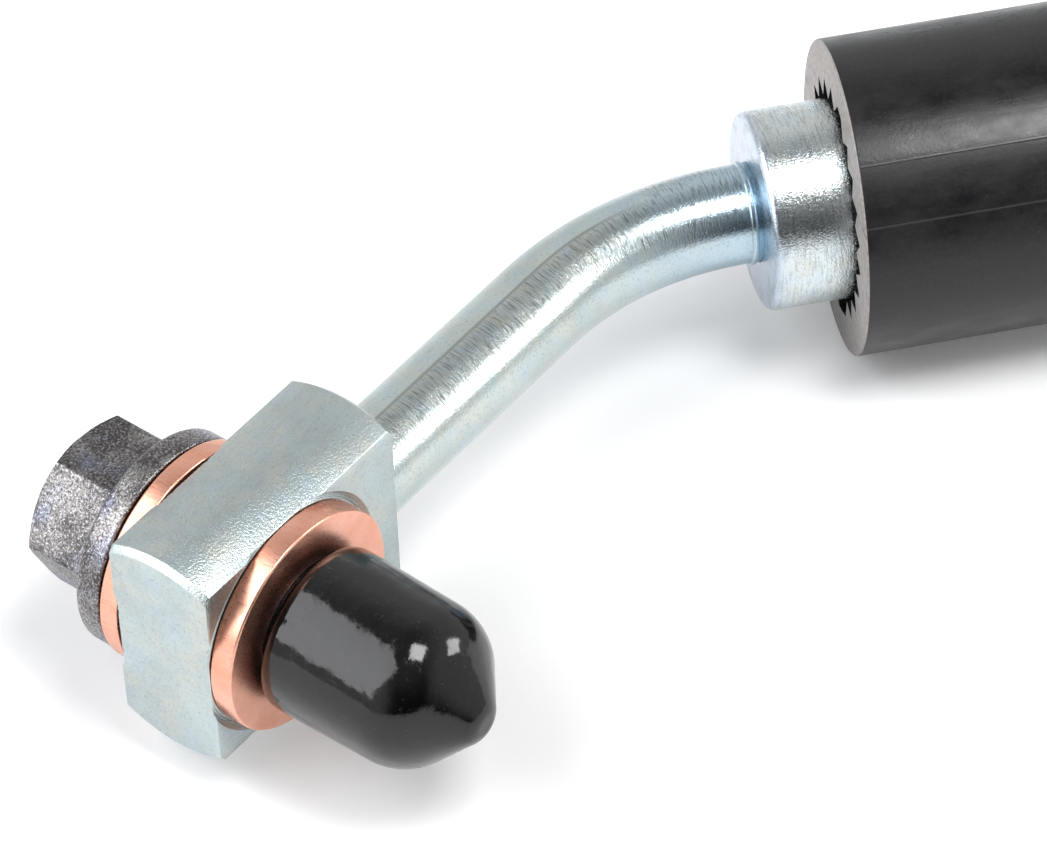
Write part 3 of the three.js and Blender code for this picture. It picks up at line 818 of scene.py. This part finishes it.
def hollow_bolt():
    """A hexagon flange bolt with a waist, bored from the thread end and crossed by two holes."""
    rim = FLANGE_DIAMETER / 2
    back_edge = FLANGE_BACK_EDGE
    face_edge = FLANGE_FACE_EDGE
    shank = THREAD_DIAMETER / 2
    waist = WAIST_DIAMETER / 2
    slope = shank - waist
    end_radius = shank - THREAD_CHAMFER
    bolt = turned("hollow_bolt", [
        (0, flange_back),
        *arc(rim - back_edge, flange_back + back_edge, back_edge, -90, 0),
        *arc(rim - face_edge, flange_face - face_edge, face_edge, 0, 90),
        (shank, flange_face),
        (shank, -washer_inner),
        (waist, -washer_inner + slope),
        (waist, washer_inner - slope),
        (shank, washer_inner),
        (shank, thread_end - THREAD_CHAMFER),
        (end_radius, thread_end),
        (0, thread_end),
    ])
    head_end = flange_back - HEX_HEIGHT
    head = hex_bar(HEX_ACROSS_FLATS, head_end, flange_back + back_edge, "low", -HEX_TURN)
    dish = turned("dish", [
        (0, head_end - CUTTER_SPARE),
        (HEAD_DISH_DIAMETER / 2, head_end - CUTTER_SPARE),
        (HEAD_DISH_DIAMETER / 2, head_end),
        (HEAD_DISH_DIAMETER / 2 - HEAD_DISH_DEPTH, head_end + HEAD_DISH_DEPTH),
        (0, head_end + HEAD_DISH_DEPTH),
    ])
    carve(head, dish)
    carve(bolt, head, "UNION")
    carve(bolt, rod(BOLT_BORE, -washer_inner, thread_end + CUTTER_SPARE))
    carve(bolt, lay_along_x(rod(CROSS_HOLE_DIAMETER, -THREAD_DIAMETER, THREAD_DIAMETER)))
    return bolt


def dipped_cap():
    """The dipped cap: a rolled lip, a slightly tapered side, a soft shoulder and a blunt nose."""
    start = washer_outer + SEAT_GAP
    lip = CAP_LIP_DIAMETER / 2
    shoulder = CAP_SHOULDER_DIAMETER / 2
    shoulder_start = start + CAP_LIP_TO_SHOULDER
    turn = radians(CAP_SHOULDER_TURN)
    cone_start = shoulder_start + CAP_SHOULDER_RADIUS * sin(turn)
    cone_radius = shoulder - CAP_SHOULDER_RADIUS * (1 - cos(turn))
    slope = sin(turn) / cos(turn)
    nose = CAP_NOSE_RADIUS
    nose_from = CAP_NOSE_FLAT + nose * cos(turn)
    nose_start = cone_start + (cone_radius - nose_from) / slope
    nose_centre = nose_start - nose * sin(turn)
    bore = lip - CAP_WALL
    bore_end = nose_start - CAP_END_WALL
    cap = turned("dipped_cap", [
        (0, bore_end),
        (bore - CAP_BORE_EDGE, bore_end),
        (bore, bore_end - CAP_BORE_EDGE),
        (bore, start + CAP_LIP_INNER_EDGE),
        (bore + CAP_LIP_INNER_EDGE, start),
        *arc(lip - CAP_LIP_RADIUS, start + CAP_LIP_RADIUS, CAP_LIP_RADIUS, -90, 0),
        *arc(shoulder - CAP_SHOULDER_RADIUS, shoulder_start, CAP_SHOULDER_RADIUS, 0,
             CAP_SHOULDER_TURN, CAP_ARC_STEPS),
        *arc(CAP_NOSE_FLAT, nose_centre, nose, CAP_SHOULDER_TURN, 90, CAP_ARC_STEPS),
        (0, nose_centre + nose),
    ])
    choose(cap, "VERT", lambda vertex: vertex.co.y > nose_centre * MM)
    bpy.ops.transform.translate(
        value=[shift * MM for shift in CAP_NOSE_SHIFT],
        use_proportional_edit=True,
        use_proportional_connected=True,
        proportional_edit_falloff="SMOOTH",
        proportional_size=CAP_SHOULDER_RADIUS * MM,
    )
    bpy.ops.object.mode_set(mode="OBJECT")
    droop = Matrix.Translation((0, start * MM, 0)) @ Matrix.Rotation(-CAP_DROOP, 4, "X")
    return cap, BANJO @ droop @ Matrix.Translation((0, -start * MM, 0))


# Tube

def tube_stations(x, y):
    """Where a point of the tube would be in a straight tube: along it, and out from its axis."""
    out_of_bend = -x - TUBE_NECK
    if out_of_bend <= 0:
        return x, y
    turn = atan2(out_of_bend, y + BEND_RADIUS)
    if turn < BEND_ANGLE:
        return -TUBE_NECK - BEND_RADIUS * turn, hypot(out_of_bend, y + BEND_RADIUS) - BEND_RADIUS
    past = out_of_bend * cos(BEND_ANGLE) - (y + BEND_RADIUS) * sin(BEND_ANGLE)
    out = out_of_bend * sin(BEND_ANGLE) + (y + BEND_RADIUS) * cos(BEND_ANGLE) - BEND_RADIUS
    return -TUBE_NECK - BEND_RADIUS * BEND_ANGLE - past, out


def steel_tube():
    """A ring pulled out of the ferrule, round the bend and into the block, then given its wall
    and its bead."""
    put_away_selection()
    bpy.ops.mesh.primitive_circle_add(
        vertices=TUBE_STEPS,
        radius=TUBE_DIAMETER / 2 * MM,
        location=(TUBE_IN_FERRULE * MM, 0, 0),
        rotation=(0, pi / 2, 0),
    )
    tube = bpy.context.object
    tube.name = "steel_tube"
    bpy.ops.object.transform_apply(location=True, rotation=True, scale=True)
    bpy.ops.object.mode_set(mode="EDIT")
    bpy.ops.mesh.select_all(action="SELECT")
    bpy.ops.mesh.extrude_region_move(
        TRANSFORM_OT_translate={"value": (-(TUBE_IN_FERRULE + TUBE_NECK) * MM, 0, 0)})
    # A positive spin goes clockwise
    bpy.ops.mesh.spin(
        steps=TUBE_STEPS,
        angle=-BEND_ANGLE,
        center=(-TUBE_NECK * MM, -BEND_RADIUS * MM, 0),
        axis=(0, 0, 1),
    )
    into_block = TUBE_STRAIGHT + SOCKET_DEPTH - SEAT_GAP
    bpy.ops.mesh.extrude_region_move(
        TRANSFORM_OT_translate={"value": tube_direction * -into_block * MM})
    bpy.ops.mesh.select_all(action="SELECT")
    bpy.ops.mesh.normals_make_consistent(inside=False)
    bpy.ops.object.mode_set(mode="OBJECT")
    wall = tube.modifiers.new("wall", "SOLIDIFY")
    wall.thickness = (TUBE_DIAMETER - TUBE_BORE) / 2 * MM
    wall.offset = -1
    apply_modifiers(tube)
    carve(tube, upset_bead(), "UNION")
    straight = tube.data.attributes.new("along_tube", "FLOAT_VECTOR", "POINT")
    for vertex, place in zip(tube.data.vertices, straight.data):
        along, out = tube_stations(vertex.co.x / MM, vertex.co.y / MM)
        place.vector = (along, out, vertex.co.z / MM)
    return tube


def upset_bead():
    """The ring that was swelled out of the tube's skin in front of the ferrule."""
    skin = TUBE_DIAMETER / 2
    half = BEAD_WIDTH / 2
    crown = [radians(20 * step) for step in range(-3, 4)]
    bead = lay_along_x(turned("upset_bead", [
        (skin - BEAD_HEIGHT, -half),
        (skin, -half),
        *[(skin + BEAD_HEIGHT * cos(a), half * sin(a)) for a in crown],
        (skin, half),
        (skin - BEAD_HEIGHT, half),
        (skin - BEAD_HEIGHT, -half),
    ], TUBE_STEPS))
    bead.location = (-(BEAD_FROM_FERRULE + half) * MM, 0, 0)
    focus(bead)
    bpy.ops.object.transform_apply(location=True, rotation=True, scale=True)
    return bead


# Ferrules and sleeve

def ferrule(name):
    """A crimped ferrule along Y, its nose at zero, with a rounded front and rolled grooves."""
    outer = FERRULE_DIAMETER / 2
    edge = FERRULE_EDGE_RADIUS
    nose = TUBE_DIAMETER / 2 + SLIP_GAP
    lip = TUBE_DIAMETER / 2 + TIGHT_GAP
    cavity = HOSE_DIAMETER / 2 + SLIP_GAP
    rolled = outer - CRIMP_GROOVE_DEPTH
    first_groove = FERRULE_NOSE_WALL + CRIMP_GROOVE_WIDTH
    pitch = (FERRULE_LENGTH - first_groove - CRIMP_GROOVE_WIDTH / 2) / CRIMP_GROOVES
    corner = CRIMP_GROOVE_DEPTH / 2
    outline = [(nose, 2 * edge), (lip, edge), (lip, 0), *arc(outer - edge, edge, edge, -90, 0)]
    for groove in range(CRIMP_GROOVES):
        start = first_groove + groove * pitch
        end = start + CRIMP_GROOVE_WIDTH
        outline += [(outer, start), (rolled, start + corner), (rolled, end - corner), (outer, end)]
    outline += [
        (outer, FERRULE_LENGTH - FERRULE_BACK_EDGE),
        (outer - FERRULE_BACK_EDGE, FERRULE_LENGTH),
        (cavity, FERRULE_LENGTH),
        (cavity, FERRULE_NOSE_WALL),
        (nose, FERRULE_NOSE_WALL),
        (nose, 2 * edge),
    ]
    return turned(name, outline)


def star_bar(points, outer_radius, inner_radius, low, high):
    """A bar along Y whose section is a star: a cylinder with every second corner pulled in."""
    put_away_selection()
    bpy.ops.mesh.primitive_cylinder_add(
        vertices=2 * points,
        radius=outer_radius * MM,
        depth=(high - low) * MM,
        location=(0, (low + high) / 2 * MM, 0),
        rotation=(pi / 2, 0, 0),
    )
    bar = bpy.context.object
    bpy.ops.object.transform_apply(location=True, rotation=True, scale=True)

    def is_inner(vertex):
        return round(atan2(vertex.co.z, vertex.co.x) * points / pi) % 2 == 1

    choose(bar, "VERT", is_inner)
    share = inner_radius / outer_radius
    bpy.ops.transform.resize(value=(share, 1, share), center_override=(0, 0, 0))
    bpy.ops.object.mode_set(mode="OBJECT")
    return bar


def notched_sleeve():
    """Thick extruded sleeve, its bore broached with V notches, its front cut a little askew."""
    bore = FERRULE_DIAMETER / 2 + SLIP_GAP
    outer = SLEEVE_DIAMETER / 2
    start = SLEEVE_FROM_FERRULE_FACE
    end = start + SLEEVE_LENGTH
    sleeve = rod(SLEEVE_DIAMETER, start, end, 6 * SLEEVE_NOTCHES)
    broach = star_bar(
        SLEEVE_NOTCHES, bore + SLEEVE_NOTCH_DEPTH, bore, start - CUTTER_SPARE, end + CUTTER_SPARE)
    carve(sleeve, broach)
    sleeve.name = "notched_sleeve"
    choose(sleeve, "VERT", lambda vertex: vertex.co.y < (start + SLEEVE_END_ZONE) * MM)
    # With no window, a rotation turns the other way
    bpy.ops.transform.rotate(
        value=SLEEVE_CUT_SKEW, orient_axis="Z", center_override=(0, start * MM, 0))
    bpy.ops.object.mode_set(mode="OBJECT")

    def on_rim(edge):
        ends = [sleeve.data.vertices[i].co / MM for i in edge.vertices]
        outside = all(hypot(place.x, place.z) > outer - SLEEVE_EDGE for place in ends)
        return outside and abs(ends[0].y - ends[1].y) < SLEEVE_END_ZONE

    choose(sleeve, "EDGE", on_rim)
    bpy.ops.mesh.bevel(offset=SLEEVE_EDGE * MM, segments=ROUND_EDGE_STEPS)
    bpy.ops.mesh.select_mode(type="VERT")
    bpy.ops.object.mode_set(mode="OBJECT")
    return sleeve


# Far end

def hex_fitting():
    """A female end fitting: hexagon, shoulder, bracket groove, and the stem that the hose is on."""
    body = FITTING_BODY_DIAMETER / 2
    groove = FITTING_GROOVE_DIAMETER / 2
    stem = STEM_DIAMETER / 2
    spigot = TUBE_DIAMETER / 2
    hex_end = SEAT_GAP + FITTING_HEX_LENGTH
    inside_hex = hex_end - CUTTER_SPARE
    groove_start = hex_end + FITTING_COLLAR_LENGTH
    groove_end = groove_start + FITTING_GROOVE_WIDTH
    end = hex_end + FITTING_BODY_LENGTH
    edge = FITTING_EDGE
    stem_end = -(FERRULE_LENGTH - STEM_FROM_FERRULE_END)
    fitting = turned("hex_fitting", [
        (0, stem_end),
        (stem, stem_end),
        (stem, -FERRULE_NOSE_WALL),
        (spigot, -FERRULE_NOSE_WALL),
        (spigot, inside_hex),
        (body, inside_hex),
        (body, groove_start),
        (groove, groove_start),
        (groove, groove_end),
        (body, groove_end),
        *arc(body - edge, end - edge, edge, 0, 90),
        (0, end),
    ])
    wear_edges(fitting, WORN_EDGE)
    carve(fitting, hex_bar(FITTING_ACROSS_FLATS, SEAT_GAP, hex_end, "high"), "UNION")
    carve(fitting, turned("port", [
        (0, end - PORT_DEPTH),
        (PORT_DIAMETER / 2, end - PORT_DEPTH),
        (PORT_DIAMETER / 2, end - edge),
        (PORT_DIAMETER / 2 + edge, end),
        (PORT_DIAMETER / 2 + edge, end + CUTTER_SPARE),
        (0, end + CUTTER_SPARE),
    ]))
    carve(fitting, rod(STEM_BORE, stem_end - CUTTER_SPARE, end - PORT_DEPTH + CUTTER_SPARE))
    return fitting


def transit_plug():
    """The port's plug, with a ribbed head to grip."""
    seat_height = SEAT_GAP + FITTING_HEX_LENGTH + FITTING_BODY_LENGTH + SEAT_GAP
    head = seat_height + PLUG_HEAD_THICKNESS
    tip = seat_height - PLUG_DEPTH
    stem = PORT_DIAMETER / 2 - SLIP_GAP
    rim = PLUG_HEAD_DIAMETER / 2
    plug = turned("transit_plug", [
        (0, tip),
        (stem - PLUG_EDGE, tip),
        (stem, tip + PLUG_EDGE),
        (stem, seat_height),
        (rim, seat_height),
        *arc(rim - PLUG_EDGE, head - PLUG_EDGE, PLUG_EDGE, 0, 90),
        (rim - PLUG_DISH_EDGE, head),
        (rim - PLUG_DISH_EDGE - PLUG_DISH_DEPTH, head - PLUG_DISH_DEPTH),
        (0, head - PLUG_DISH_DEPTH),
    ])
    wear_edges(plug, WORN_EDGE)
    ribs = star_bar(PLUG_RIBS, rim, rim - PLUG_RIB_DEPTH, tip - CUTTER_SPARE, head + CUTTER_SPARE)
    carve(plug, ribs, "INTERSECT")
    return plug


# Putting it together: the hose first, then each piece from the bolt to the far end

hose = hose_curve()
turned_steel = {
    "shine": (0.16, 0.28), "crystal_depth": 0.02, "grain": (0.6, 7, 0.6), "grain_depth": 0.008,
}
fitting = seat(hex_fitting(), FAR_END, zinc_plate(
    "zinc_fitting", FAR_END, (0.62, 0.68, 0.69), **turned_steel,
), "zinc_steel", "end_fitting")
plug = seat(transit_plug(), FAR_END, plug_plastic(), "plug_plastic", "port_plug")
far_ferrule = seat(ferrule("hose_ferrule"), FAR_END @ Matrix.Rotation(pi, 4, "X"), zinc_plate(
    "zinc_far_ferrule", FAR_END, (0.64, 0.70, 0.71), **turned_steel,
), "zinc_steel", "far_ferrule")

seat(block_body(), BANJO, zinc_plate(
    "zinc_block", BANJO, (0.48, 0.54, 0.54),
    shine=(0.28, 0.38), crystal_depth=0.048, grain=(0.8, 3, 3), grain_depth=0.003,
), "zinc_steel", "banjo_block")
copper = soft_copper()
washer_seat = FLAT_WIDTH / 2 - SPOTFACE_DEPTH + TIGHT_GAP
thread_washer = washer("thread_washer", washer_seat, washer_outer)
seat(thread_washer, BANJO, copper, "copper", "washer_thread_side")
head_washer = washer("head_washer", -washer_outer, -washer_inner)
seat(head_washer, BANJO, copper, "copper", "washer_head_side")
seat(hollow_bolt(), BANJO, phosphate_steel(), "phosphate_steel", "banjo_bolt")
cap, cap_place = dipped_cap()
seat(cap, cap_place, dipped_vinyl(), "black_vinyl", "thread_cap")
seat(steel_tube(), TUBE_END, zinc_plate(
    "zinc_tube", "along_tube", (0.51, 0.57, 0.56),
    shine=(0.16, 0.28), crystal_depth=0.018, grain=(8, 0.8, 0.8), grain_depth=0.022,
    # Dark blue at the neck by the ferrule: the plate's blue, partly painted shade in the gap
    blued=[("X", -16, -2, 0.6, (0.42, 0.60, 0.74)), ("X", -0.4, -0.3, 0.6, (0.10, 0.28, 0.42))],
    rubbed=(-60, 88),
), "zinc_steel", "bent_tube")
seat(ferrule("near_ferrule"), NEAR_END, zinc_plate(
    "zinc_ferrule", NEAR_END, (0.64, 0.70, 0.71),
    shine=(0.15, 0.30), crystal_depth=0.035, grain=(0.6, 5, 0.6), grain_depth=0.012,
    blued=[("Y", 1.2, 0, 0.7, (0.56, 0.64, 0.78))],
), "zinc_steel", "crimp_ferrule")

sleeve = seat(notched_sleeve(), NEAR_END, sleeve_rubber(), "sleeve_rubber", "rubber_sleeve")
sleeve.data.materials.append(cut_rubber())
# The knife-cut ends and the broken edges round them face along the sleeve
# The paler cut finish on the broken edges is a painted highlight along the rim
for face in sleeve.data.polygons:
    if abs(face.normal.x) > CUT_END_FACING:
        face.material_index = 1

hose.data.materials.append(hose_rubber())
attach(hose, "root")
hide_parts("hose_cover")
for node, finish in (
    ("hose_liner", liner_rubber()),
    ("hose_braid", braid_textile()),
    ("hose_insert", zinc_plate("zinc_insert", NEAR_END, (0.64, 0.70, 0.71), **turned_steel)),
):
    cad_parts[node].material_slots[0].material = finish


# Studio

def white_table():
    put_away_selection()
    bpy.ops.mesh.primitive_plane_add(size=FLOOR_SIZE)
    table = bpy.context.object
    table.name = "table"
    finish = Finish("white_table")
    place = finish.node("ShaderNodeTexCoord", {}).outputs["Object"]
    grain = finish.noise(place, 400, detail=2)
    seen = finish.node("ShaderNodeLightPath", {})
    white = finish.node("ShaderNodeEmission", {"Color": (1, 1, 1, 1), "Strength": TABLE_GLOW})
    paper = finish.node("ShaderNodeBsdfPrincipled", {
        "Base Color": finish.mix(grain, (0.93, 0.93, 0.93), (0.95, 0.95, 0.95)),
        "Roughness": 0.8,
        "Specular IOR Level": 0.1,
    })
    nothing = finish.node("ShaderNodeEmission", {"Strength": 0.0})
    share = finish.math("MAXIMUM", seen.outputs["Is Camera Ray"], seen.outputs["Is Glossy Ray"])
    shown = finish.node("ShaderNodeMixShader", {
        0: share,
        1: nothing.outputs[0],
        2: white.outputs[0],
    })
    both = finish.node("ShaderNodeAddShader", {0: paper.outputs[0], 1: shown.outputs[0]})
    finish.node("ShaderNodeOutputMaterial", {"Surface": both.outputs[0]})
    table.data.materials.append(finish.material)


def room():
    """A pale room: white to the camera, bright behind the object, dim overhead and in front."""
    world = bpy.data.worlds.new("room")
    bpy.context.scene.world = world
    world.use_nodes = True
    tree = world.node_tree
    tree.nodes.clear()

    def node(kind, inputs, **settings):
        return add_node(tree, kind, inputs, **settings)

    def levels(value, stops):
        ramp = node("ShaderNodeValToRGB", {"Fac": value})
        stretch = ramp.color_ramp.elements
        while len(stretch) < len(stops):
            stretch.new(0.5)
        for element, (position, level) in zip(stretch, stops):
            element.position = position
            element.color = (level, level, level, 1)
        return ramp.outputs["Color"]

    def slide(value, low, high):
        return node("ShaderNodeMapRange", {
            "Value": value, "From Min": low, "From Max": high,
        }, interpolation_type="SMOOTHSTEP").outputs["Result"]

    direction = node("ShaderNodeTexCoord", {}).outputs["Generated"]
    parts = node("ShaderNodeSeparateXYZ", {"Vector": direction}).outputs
    aside = node("ShaderNodeMath", {0: parts["X"]}, operation="ABSOLUTE").outputs[0]
    in_front = node("ShaderNodeMath", {
        0: slide(parts["Y"], 0.05, -0.4),
        1: slide(aside, 0.75, 0.35),
    }, operation="MULTIPLY").outputs[0]
    back = levels(parts["Z"], [(0.3, 0.76), (0.62, 0.82), (0.78, 0.66), (0.88, 0.42), (0.96, 0.28)])
    front = levels(parts["Z"], [(0.1, 0.02), (0.37, 0.07), (0.6, 0.2), (0.8, 0.3), (0.96, 0.28)])
    mixed = node("ShaderNodeMix", {
        "Factor": in_front, 6: back, 7: front,
    }, data_type="RGBA").outputs[2]
    reflected = node("ShaderNodeBackground", {"Color": mixed}).outputs[0]
    fill = node("ShaderNodeBackground", {"Color": (1, 1, 1, 1), "Strength": ROOM_FILL}).outputs[0]
    backdrop = node("ShaderNodeBackground", {"Color": (1, 1, 1, 1)}).outputs[0]
    seen = node("ShaderNodeLightPath", {}).outputs
    lit = node("ShaderNodeMixShader", {0: seen["Is Glossy Ray"], 1: fill, 2: reflected}).outputs[0]
    shown = node("ShaderNodeMixShader", {0: seen["Is Camera Ray"], 1: lit, 2: backdrop}).outputs[0]
    node("ShaderNodeOutputWorld", {"Surface": shown})


def softbox(name, lean, bearing, across, level, roll=0, tint=(1, 1, 1)):
    """A square softbox turned to the object: lean from overhead, bearing round it, its breadth as
    an angle."""
    lean, bearing, across = radians(lean), radians(bearing), radians(across)
    direction = Vector((sin(lean) * cos(bearing), sin(lean) * sin(bearing), cos(lean)))
    side = 2 * SOFTBOX_DISTANCE * sin(across / 2) / cos(across / 2)
    light = bpy.data.lights.new(name, "AREA")
    light.shape = "SQUARE"
    light.size = side
    light.energy = level * pi * side * side
    light.color = tint
    box = bpy.data.objects.new(name, light)
    bpy.context.scene.collection.objects.link(box)
    box.location = SOFTBOX_AIM + SOFTBOX_DISTANCE * direction
    towards = (-direction).to_track_quat("-Z", "Y").to_matrix().to_4x4()
    box.rotation_euler = (towards @ Matrix.Rotation(radians(roll), 4, "Z")).to_euler()


white_table()
room()
softbox("upper_softbox", 20, -48, 21, 12.0, roll=30)
softbox("right_softbox", 65, -3, 20, 9.0, roll=30)
softbox("left_softbox", 50, 184, 55, 3.4, tint=(0.96, 0.97, 1.0))

bpy.context.scene.view_settings.view_transform = "Standard"
